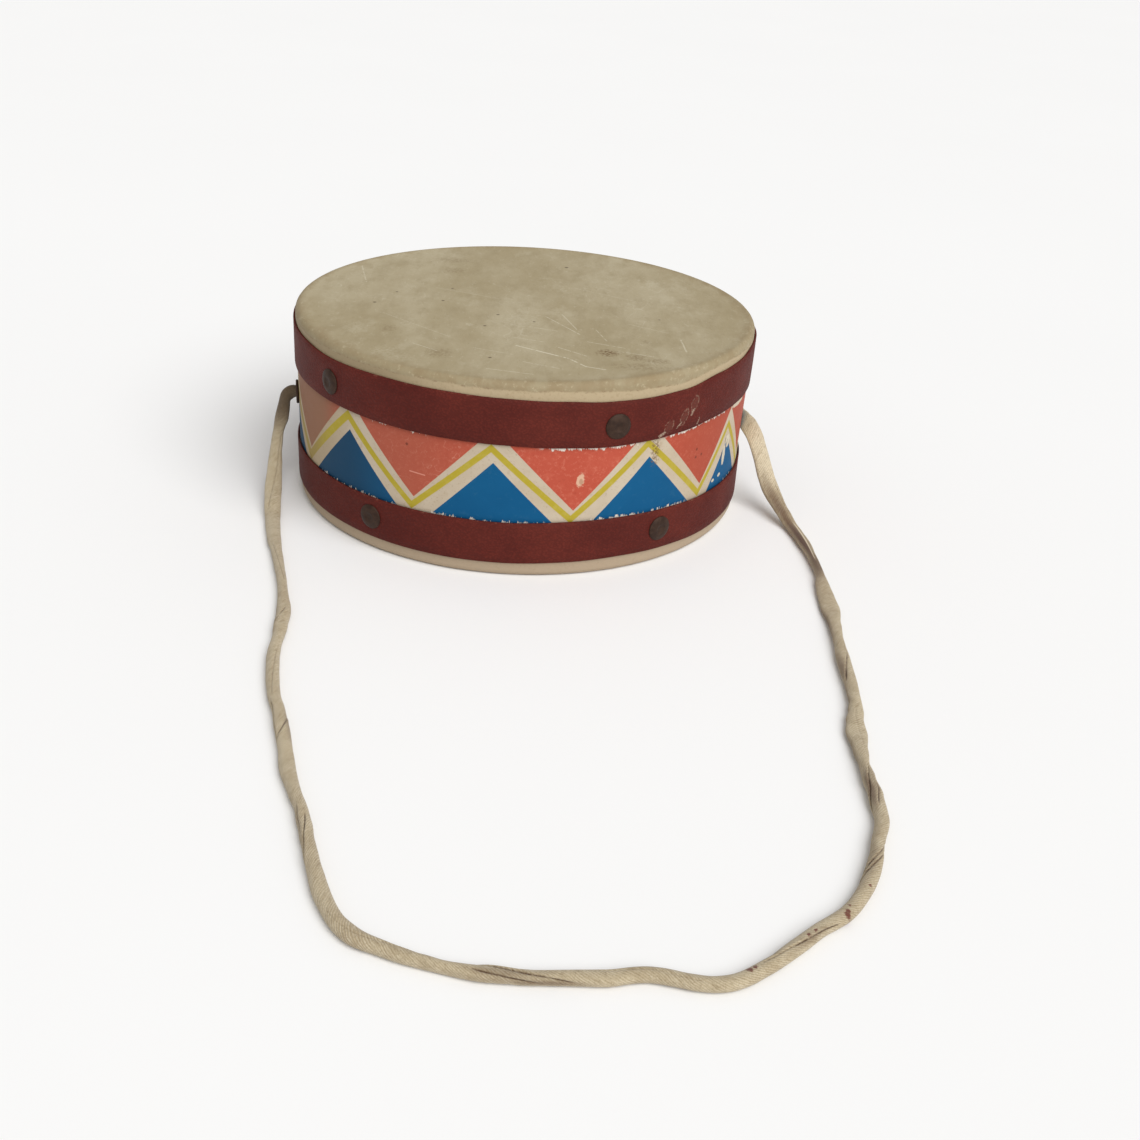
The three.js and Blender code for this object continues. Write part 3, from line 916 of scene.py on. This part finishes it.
leathercloth = band_paint()
BAND_INNER = BAND_RADIUS / MM - BAND_THICKNESS - BAND_SINK
upper_band_edges = wavering(UPPER_BAND_BOTTOM, UPPER_BAND_TOP, 31, UPPER_BAND_STRAY)
lower_band_edges = wavering(LOWER_BAND_BOTTOM, LOWER_BAND_TOP, 47, LOWER_BAND_STRAY)
for node, edges in (("upper_band", upper_band_edges), ("lower_band", lower_band_edges)):
    make_strip(node + "_cloth", node, "leathercloth", leathercloth, BAND_INNER, BAND_THICKNESS, edges)


# Paper wrap: a printed zigzag of coral and blue triangles with a yellow line between them

PAPER_THICKNESS = 0.2
PAPER_SINK = 0.1
PRINT_PERIOD = 37.4
NARROW_PERIOD = 25.6
NARROW_RISE = 1.22
PRINT_START = -26.35
PRINT_SWAY = 1.9
YELLOW_SHIFT = 0.55
PRINT_TILT = 0.5
CORAL_FOOT = 29.0
CORAL_SLOPE = 1.045
BLUE_PEAK = 48.7
BLUE_SLOPE = 1.03
YELLOW_FOOT = 25.2
YELLOW_PEAK = 54.7
YELLOW_HALF_HEIGHT = 1.7
PRINT_SOFTNESS = 0.12


def nearest_low(value, period):
    """Distance in millimetres round the drum from the nearest low point, for an angle from one."""
    return abs((value / period + 0.5).fract() - 0.5) * (period * ARC_MM)


def zigzag(paint, angle, shift):
    """Distance in millimetres round the drum from the zigzag's nearest low point. Beyond the
    third low point one repeat of the print is narrower."""
    turn = angle * math.radians(1)
    even = angle - turn.cos() * PRINT_SWAY - (PRINT_START - shift)
    beyond = even - PRINT_PERIOD * 2
    after = beyond - NARROW_PERIOD
    wide = nearest_low(even, PRINT_PERIOD)
    narrow = nearest_low(beyond, NARROW_PERIOD) * NARROW_RISE
    reach = wide + (narrow - wide) * paint.math("GREATER_THAN", beyond, 0.0)
    return reach + (nearest_low(after, PRINT_PERIOD) - reach) * paint.math("GREATER_THAN", after, 0.0)


def paper_paint():
    paint = Paint("printed_paper", specular_ior_level=0.12)
    angle, height, flat = round_coordinates(paint)
    ragged = (paint.noise(0.9, 3, 0.7, 3, flat) - 0.5) * 0.35
    level = height + (angle * math.radians(1)).sin() * PRINT_TILT + ragged
    reach = zigzag(paint, angle, 0.0)
    yellow_reach = zigzag(paint, angle, YELLOW_SHIFT)
    half = PRINT_PERIOD * ARC_MM / 2
    soft = PRINT_SOFTNESS

    coral = (level - (reach * CORAL_SLOPE + CORAL_FOOT)).step(-soft, soft)
    blue = ((reach - half) * BLUE_SLOPE + BLUE_PEAK - level).step(-soft, soft)
    yellow_slope = (YELLOW_PEAK - YELLOW_FOOT) / half
    yellow_line = abs(level - (yellow_reach * yellow_slope + YELLOW_FOOT))
    left = angle.step(-135, -105)
    yellow_half = angle.step(-28, -58) * left * 0.7 + YELLOW_HALF_HEIGHT
    yellow = (yellow_half - yellow_line).step(-soft * 1.6, soft * 1.6)

    tone = paint.noise(30, 4, 0.6, 5, flat)
    wear = paint.noise(3.2, 5, 0.7, 8, flat)
    speck = paint.noise(0.8, 3, 0.7, 11, flat)
    rubbed = paint.noise(1.5, 5, 0.8, 29, flat)
    hair = abs(paint.noise(9, 2, 0.5, 47, flat) - 0.5).step(0.006, 0.002) * wear.step(0.42, 0.55)
    cream = paint.coats(
        (186, 170, 147),
        (tone.step(0.35, 0.65), (195, 181, 160)),
        (wear.step(0.55, 0.75) * 0.35, (164, 140, 110)),
        (speck.step(0.58, 0.7) * 0.4, (140, 114, 86)),
        # painted shade: darker on the left, away from the light
        (angle.step(-42, -56) * left * 0.5, (164, 144, 112)),
    )
    coral_tone = paint.coats(
        (178, 77, 58),
        (tone.step(0.3, 0.7), (183, 84, 65)),
        (wear.step(0.5, 0.7) * 0.35, (196, 104, 82)),
        (speck.step(0.62, 0.72) * angle.step(4, -20) * 0.5, (204, 150, 128)),
        (rubbed.step(0.54, 0.64) * 0.45, (206, 124, 102)),
        (hair * angle.step(8, -4) * 0.5, (216, 150, 128)),
        (rubbed.step(0.42, 0.32) * 0.3, (142, 58, 44)),
        # painted shade: darker on the left, away from the light
        (angle.step(2, -28) * left * 0.5, (158, 92, 72)),
        (angle.step(26, 50) * 0.5, (152, 72, 52)),
        (angle.step(-44, -56) * left, (144, 103, 79)),
    )
    blue_tone = paint.coats(
        (6, 80, 124),
        (tone.step(0.3, 0.7), (12, 86, 130)),
        (wear.step(0.55, 0.7) * 0.2, (60, 106, 134)),
        # painted shade: darker on the left, away from the light
        (angle.step(-20, -46) * left * 0.9, (22, 62, 90)),
    )
    yellow_tone = paint.coats(
        (174, 156, 50),
        (wear.step(0.45, 0.7) * 0.5, (184, 168, 84)),
        (angle.step(-50, -62) * left * 0.75, (150, 128, 84)),
    )
    color = paint.mix(coral, cream, coral_tone)
    color = paint.mix(blue, color, blue_tone)
    color = paint.mix(yellow, color, yellow_tone)

    chip = chipped_edges(paint, angle, height, flat)
    color = paint.mix(chip, color, (226, 216, 204))
    color = worn_marks(paint, flat, color, wear)
    relief = wear * 0.6 + speck * 0.3 - chip * 0.8
    return paint.finish(color, 0.5 + wear * 0.2, relief, 0.1)


# Where the print is chipped along the bands: first and last angle, 1 at the upper band or -1 at
# the lower one, and how much of the edge is chipped
CHIPPED_SPANS = [
    (5, 28, 1, 0.9), (36, 60, 1, 0.95), (-36, -22, 1, 0.45),
    (-22, 6, -1, 0.6), (16, 44, -1, 0.8), (-56, -30, -1, 0.55),
    (66, 178, 1, 0.4), (60, 175, -1, 0.45), (-172, -75, -1, 0.4),
    (-176, -90, 1, 0.35),
]

# How much of the paper just under the upper band its thickness hides from above
UPPER_CHIP_HIDDEN = 0.5

# The chips' depth, how steeply they reach it, and the degrees over which a span of them fades
CHIP_DEPTH = 1.1
CHIP_STEEPNESS = 9.0
CHIP_FADE = 1.5


def chipped_edges(paint, angle, height, flat):
    """White dashes along the bands' edges, where the print has come off."""
    run = paint.vector(angle * ARC_MM, height * 0.12)
    dash = paint.noise(2.2, 4, 0.8, 17, run)
    ragged = (paint.noise(0.6, 2, 0.6, 19, flat) - 0.5) * 0.7
    from_upper = paint.value("below") - UPPER_CHIP_HIDDEN + ragged
    from_lower = paint.value("above") + ragged
    amount = None
    for first, last, upper, strength in CHIPPED_SPANS:
        reach = from_upper if upper > 0 else from_lower
        inside = angle.step(first - CHIP_FADE, first + CHIP_FADE)
        inside = inside * angle.step(last + CHIP_FADE, last - CHIP_FADE)
        cut = 0.64 - strength * 0.2
        depth = ((dash - cut) * CHIP_STEEPNESS).less(CHIP_DEPTH)
        part = inside * (depth - reach).step(0.0, 0.15) * dash.step(cut, cut + 0.015)
        amount = part if amount is None else amount.either(part)
    return amount


# Where the print is torn off at the right: place as angle and height, half width and half height
TORN_PRINT = [
    ((60.9, 35.6), (1.5, 4.6)), ((62.6, 41), (2.2, 3)), ((59.5, 27.1), (1.3, 0.8)),
    ((56.2, 26.3), (1.2, 0.7)), ((67.5, 56.2), (8, 1.5)),
]
TORN_EDGES = [
    ((61.3, 44), (61, 41.4), 0.6), ((62.6, 41.4), (61.7, 38.2), 0.5),
    ((59.6, 37.2), (59.2, 34.6), 0.5),
]


def worn_marks(paint, flat, color, wear):
    """The flake, scuffs and tears that the print shows at the front and right."""
    flake = paint.patch(flat, flat_place(14.2, 41.8), (1.6, 2.6), 0.2, 1.8, 1.2)
    flake_core = paint.patch(flat, flat_place(14.4, 41.2), (0.8, 1.3), 0.2, 1.2, 0.8)
    scuff = paint.patch(flat, flat_place(33, 50.4), (1.9, 5.6), 0.4, 2.4, 1.3)
    scuff_grain = paint.noise(1, 4, 0.75, 23, flat).step(0.46, 0.54)
    color = paint.coats(
        color,
        (flake * 0.85, (214, 178, 150)),
        (flake_core * 0.6, (160, 120, 92)),
        (scuff * scuff_grain * 0.85, (112, 86, 56)),
    )
    for place in ((46.9, 45.5), (49.0, 42.3), (46.8, 42.0), (-26.4, 51.0)):
        speck = paint.patch(flat, flat_place(*place), (0.6, 0.6), 0.4)
        color = paint.mix(speck * 0.7, color, (96, 52, 40))
    scratch = paint.line(flat, flat_place(-25.6, 39.9), flat_place(-21.8, 39.4), 0.35)
    color = paint.mix(scratch * 0.6, color, (226, 160, 140))
    for place, size in TORN_PRINT:
        torn = paint.patch(flat, flat_place(*place), size, 0.12, 1.0, 2.4)
        color = paint.mix(torn * 0.95, color, (206, 196, 174))
    for start, end, width in TORN_EDGES:
        dark = paint.line(flat, flat_place(*start), flat_place(*end), width)
        color = paint.mix(dark * wear.step(0.35, 0.5) * 0.8, color, (88, 66, 44))
    return color


def full_width(low, high):
    return lambda angle: (low / MM, high / MM)


def paper_window(angle):
    """The heights between which the paper shows."""
    return lower_band_edges(angle)[1], upper_band_edges(angle)[0]


PAPER_INNER = PAPER_RADIUS / MM - PAPER_THICKNESS - PAPER_SINK
make_strip("printed_wrap", "paper_wrap", "printed_paper", paper_paint(), PAPER_INNER, PAPER_THICKNESS,
           full_width(PAPER_BOTTOM, PAPER_TOP), rows=8, between=paper_window)


# Tacks and eyelets: tarnished steel

def steel_paint():
    paint = Paint("tarnished_steel", metallic=0.35, specular_ior_level=0.3)
    tone = paint.noise(2.5, 4, 0.7, 3)
    rust_and_glints = paint.noise(1.4, 4, 0.7, 9)
    color = paint.coats(
        (50, 33, 24),
        (tone.step(0.35, 0.65), (66, 47, 36)),
        (rust_and_glints.step(0.52, 0.7) * 0.6, (58, 38, 28)),
        # painted glints: pale spots where this noise is lowest
        (rust_and_glints.step(0.3, 0.22) * 0.5, (120, 110, 98)),
    )
    return paint.finish(color, tone * 0.25 + 0.46, tone * 0.6 + rust_and_glints * 0.6, 0.12)


TACK_SIDES = 48
TACK_DOME_STEPS = 8
TACK_DIMPLE = 2.1
TACK_DIMPLE_DEPTH = 0.38
TACK_RIM = 0.4
TACK_ROUNDING = 0.25
TACK_SINK = 0.25
TACK_TILT = 0.12
TACK_UNEVENNESS = 0.02
SHANK_RADIUS = 0.7
SHANK_LENGTH = 1.6


def pointing_out(middle):
    """Places a form that is turned about its own axis so that it points out of the drum."""
    outward = Vector((middle.x, middle.y, 0)).normalized()
    sideways = Vector((0, 0, 1)).cross(outward)

    def place(angle, radius, reach):
        turn = math.radians(angle)
        offset = sideways * (radius * math.cos(turn)) + Vector((0, 0, radius * math.sin(turn)))
        axis = outward * reach
        return Vector((axis.x, axis.y, middle.z)) + offset
    return place


def make_tack(node, material, seed):
    low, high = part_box(node)
    head_radius = (high.z - low.z) / 2 / MM
    middle = (low + high) / 2
    outward = Vector((middle.x, middle.y, 0)).normalized()
    face = max(vertex.co.dot(outward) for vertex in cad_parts[node].data.vertices) / MM
    back = BAND_RADIUS / MM - TACK_SINK
    dimple = []
    for share in (0.0, 0.3, 0.6, 0.8, 0.92):
        dimple.append((TACK_DIMPLE * share, face - TACK_DIMPLE_DEPTH * (1 - share ** 3)))
    dome = []
    for i in range(TACK_DOME_STEPS + 1):
        share = i / TACK_DOME_STEPS
        radius = TACK_DIMPLE + (head_radius - TACK_ROUNDING - TACK_DIMPLE) * share
        dome.append((radius, face - (face - back - TACK_RIM - 0.2) * share ** 2.2))
    rim = [(head_radius, back + TACK_RIM), (head_radius, back + 0.1), (head_radius - 0.2, back)]
    shank = [(SHANK_RADIUS, back), (SHANK_RADIUS, back - SHANK_LENGTH + 0.2), (0.0, back - SHANK_LENGTH)]
    profile = [*dimple, *dome, *rim, *shank]
    place_at = pointing_out(middle / MM)

    def place(angle, radius, reach):
        turn = angle + seed * 37
        lean = math.cos(math.radians(turn))
        dent = 1 + TACK_UNEVENNESS * wander(Vector((lean, radius / 3, seed)), 0.8, seed)
        tilt = TACK_TILT * radius / head_radius * lean
        point = place_at(angle, radius * dent, reach + tilt * smooth(reach, back, face))
        return out_of_round(point) * MM
    return dress(turned(node + "_head", profile, TACK_SIDES, place, material), "dark_steel", node)


EYELET_BORE = 2.8
EYELET_WALL = 0.5
EYELET_ROLL = 0.55
EYELET_DEPTH = 4.6
EYELET_OUTER = 99.9


def make_eyelet(node, material, angle):
    low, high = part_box(node)
    flange = (high.z - low.z) / 2 / MM
    middle = in_eyelet(angle, EYELET_OUTER)
    seat = PAPER_RADIUS / MM - PAPER_SINK
    barrel = EYELET_BORE + EYELET_WALL
    roll_height = EYELET_OUTER - EYELET_ROLL
    inner_end = seat - EYELET_DEPTH
    loop = [(EYELET_BORE, inner_end), (barrel, inner_end), (barrel, seat), (flange - 0.2, seat)]
    loop += arc(flange - EYELET_ROLL, roll_height, EYELET_ROLL, -20, 90, 6)
    loop += arc(EYELET_BORE + EYELET_ROLL, roll_height, EYELET_ROLL, 90, 180, 6)
    place = pointing_out(middle)
    vertices = []
    for j in range(TACK_SIDES):
        for radius, reach in loop:
            vertices.append(out_of_round(place(360 * j / TACK_SIDES, radius, reach)) * MM)
    faces = grid_faces(TACK_SIDES, len(loop), wrap_rows=True, wrap_columns=True)
    return dress(make_object(node + "_ring", vertices, faces, material), "dark_steel", node)


steel = steel_paint()
for band, seed in (("upper", 0), ("lower", 5)):
    for number in range(1, 6):
        make_tack(f"{band}_tack_{number}", steel, seed + number)
make_eyelet("eyelet_left", steel, LEFT_EYELET_ANGLE)
make_eyelet("eyelet_right", steel, RIGHT_EYELET_ANGLE)


# Hoop: the model's own ring, in bare wood

def wood_paint():
    paint = Paint("hoop_wood", specular_ior_level=0.3)
    flat = round_coordinates(paint)[2]
    rings = paint.noise(3.2, 5, 0.6, 2, flat, (0.05, 1, 1))
    pore = paint.noise(0.7, 3, 0.6, 5, flat, (0.08, 1, 1))
    color = paint.mix(rings.step(0.35, 0.65), (205, 170, 122), (182, 144, 98))
    color = paint.mix(pore.step(0.55, 0.75) * 0.5, color, (140, 104, 68))
    return paint.finish(color, 0.75, rings + pore * 0.5, 0.1)


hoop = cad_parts["hoop"]
hoop.data.materials.clear()
hoop.data.materials.append(wood_paint())


# Floor and light

FLOOR_HALF = 30.0
FLOOR_DROP = 0.00005

# A large soft light from the front right, and an even studio round it
SUN_STRENGTH = 2.5
SUN_ANGLE = 35
SUN_ELEVATION = 47
SUN_SIZE = 48
SKY_COLOR = (1.0, 0.99, 0.97, 1.0)
SKY_STRENGTH = 0.45


def make_floor():
    paint = Paint("floor", specular_ior_level=0.2)
    tone = paint.noise(300, 2, 0.5)
    color = paint.mix(tone, (248, 248, 248), (246, 246, 246))
    corners = [(-1, -1), (1, -1), (1, 1), (-1, 1)]
    vertices = [(x * FLOOR_HALF, y * FLOOR_HALF, -FLOOR_DROP) for x, y in corners]
    floor = make_object("floor", vertices, [(0, 1, 2, 3)], paint.finish(color, 0.8))


def make_sun():
    data = bpy.data.lights.new("key", "SUN")
    data.energy = SUN_STRENGTH
    data.angle = math.radians(SUN_SIZE)
    sun = add_object("key", data)
    sun.rotation_mode = "QUATERNION"
    high = math.radians(SUN_ELEVATION)
    towards = around(SUN_ANGLE, math.cos(high), math.sin(high))
    sun.rotation_quaternion = (-towards).to_track_quat("-Z", "Y")


def make_world():
    world = bpy.data.worlds.new("studio")
    world.use_nodes = True
    background = world.node_tree.nodes["Background"]
    background.inputs["Color"].default_value = SKY_COLOR
    background.inputs["Strength"].default_value = SKY_STRENGTH
    bpy.context.scene.world = world


make_floor()
make_sun()
make_world()
bpy.context.scene.view_settings.view_transform = "Standard"
